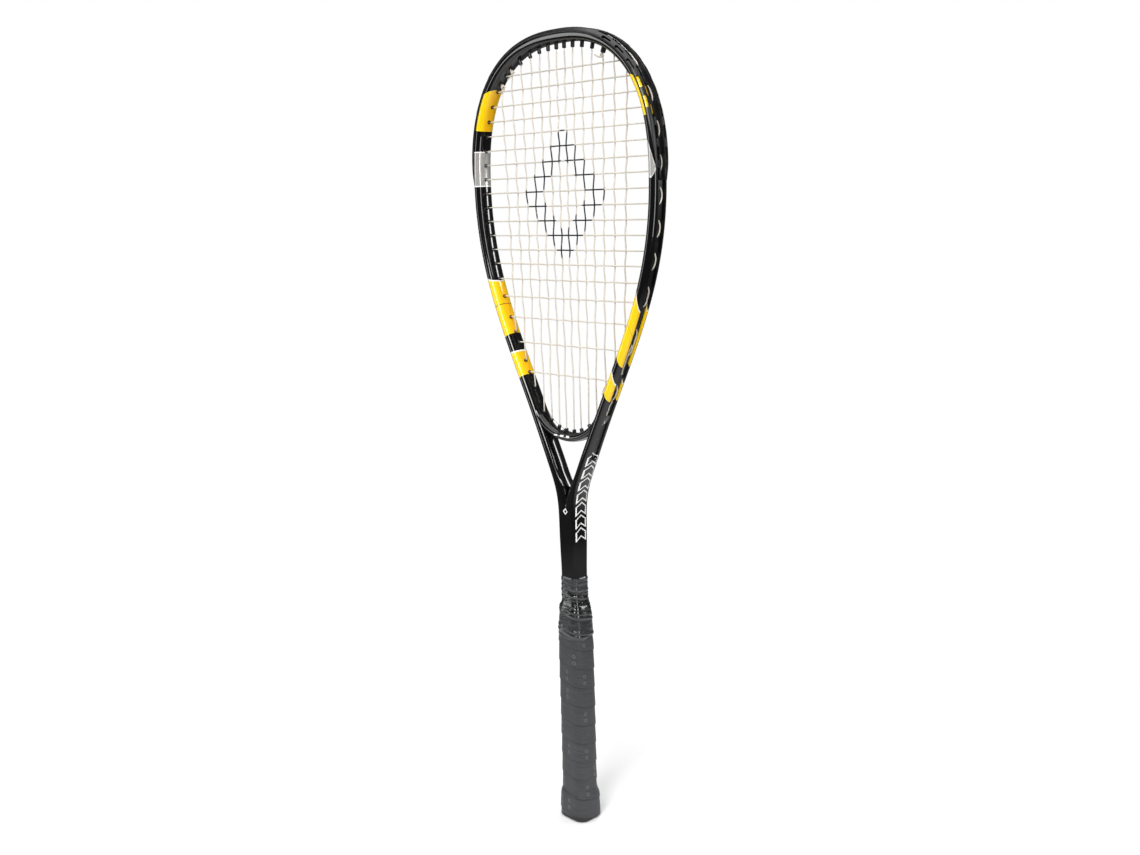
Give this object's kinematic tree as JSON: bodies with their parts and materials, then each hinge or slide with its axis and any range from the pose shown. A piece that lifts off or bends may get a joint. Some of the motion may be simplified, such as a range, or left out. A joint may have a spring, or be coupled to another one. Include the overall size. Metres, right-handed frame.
{
  "type": "squash racket",
  "caption": "Strung racket with a teardrop head, open throat, slotted bumper guard and a wrapped octagonal grip.",
  "frame": {"origin": "centre of the butt's flat lower face", "axes": "+Z along the racket from the butt to the tip, +X across the head, +Y along the normal of the string plane; the front of the racket faces -Y"},
  "size_m": [0.2174, 0.0296, 0.6846],
  "materials": {
    "lacquered_frame": "clear gloss lacquer over black, with bright yellow and silver panels",
    "guard_nylon": "moulded satin nylon",
    "string_nylon": "translucent off-white nylon with a black printed mark",
    "pallet_foam": "moulded rigid foam",
    "cap_plastic": "moulded black plastic",
    "staple_steel": "plain wire",
    "grip_tape": "soft dark grey wrapped tape with small perforations",
    "finishing_film": "stretched glossy vinyl film with creases"
  },
  "bodies": {
    "root": {"hairpin_frame": "lacquered_frame", "throat_bridge": "lacquered_frame", "bumper_guard": "guard_nylon", "left_grommet_strip": "guard_nylon", "right_grommet_strip": "guard_nylon", "bridge_grommet_strip": "guard_nylon", "main_string": "string_nylon", "cross_string": "string_nylon", "left_pallet": "pallet_foam", "right_pallet": "pallet_foam", "butt_cap": "cap_plastic", "butt_cap_door": "cap_plastic", "front_staple": "staple_steel", "back_staple": "staple_steel", "grip_wrap": "grip_tape", "finishing_tape": "finishing_film"}
  },
  "joints": []
}
